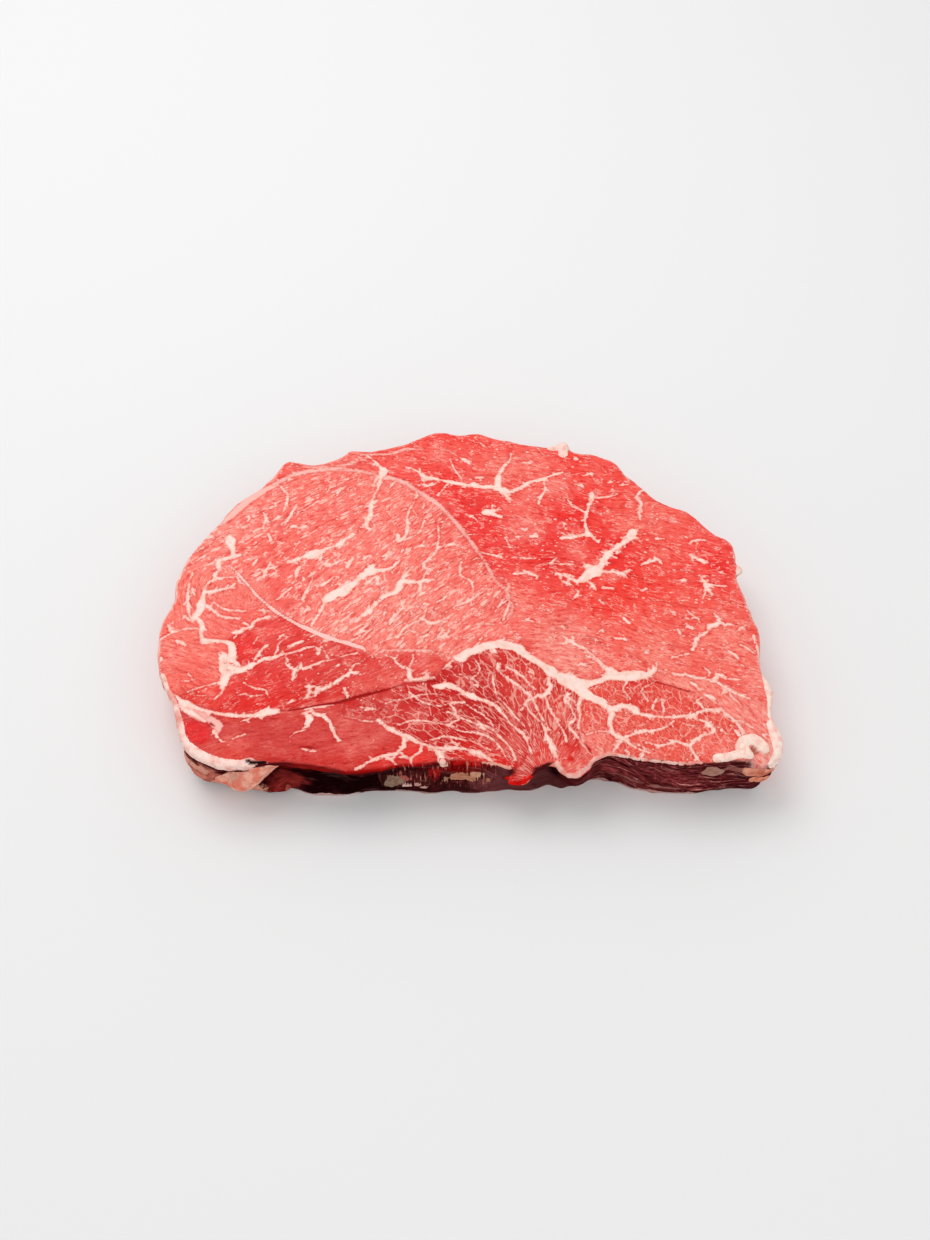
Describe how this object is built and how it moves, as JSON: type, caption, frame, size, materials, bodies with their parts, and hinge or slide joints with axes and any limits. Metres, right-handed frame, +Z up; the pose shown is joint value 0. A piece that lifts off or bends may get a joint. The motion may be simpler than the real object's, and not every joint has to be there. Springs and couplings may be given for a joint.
{
  "type": "raw beef knuckle steak",
  "caption": "Thick slice of raw beef knuckle, broad and D-shaped, with marbled red muscle, seams of white fat, a ragged front wall and small flaps of fat at its edge.",
  "frame": {"origin": "under the middle of the steak, on the surface that it lies on", "axes": "+X to the right along the steak's long side, +Y from the ragged front edge towards the rounded back edge, +Z up out of the marbled cut face"},
  "size_m": [0.1778, 0.1206, 0.0212],
  "materials": {
    "meat": "moist raw meat, bright red muscle with creamy white fat"
  },
  "bodies": {
    "root": {"beef_knuckle": "meat"}
  },
  "joints": []
}
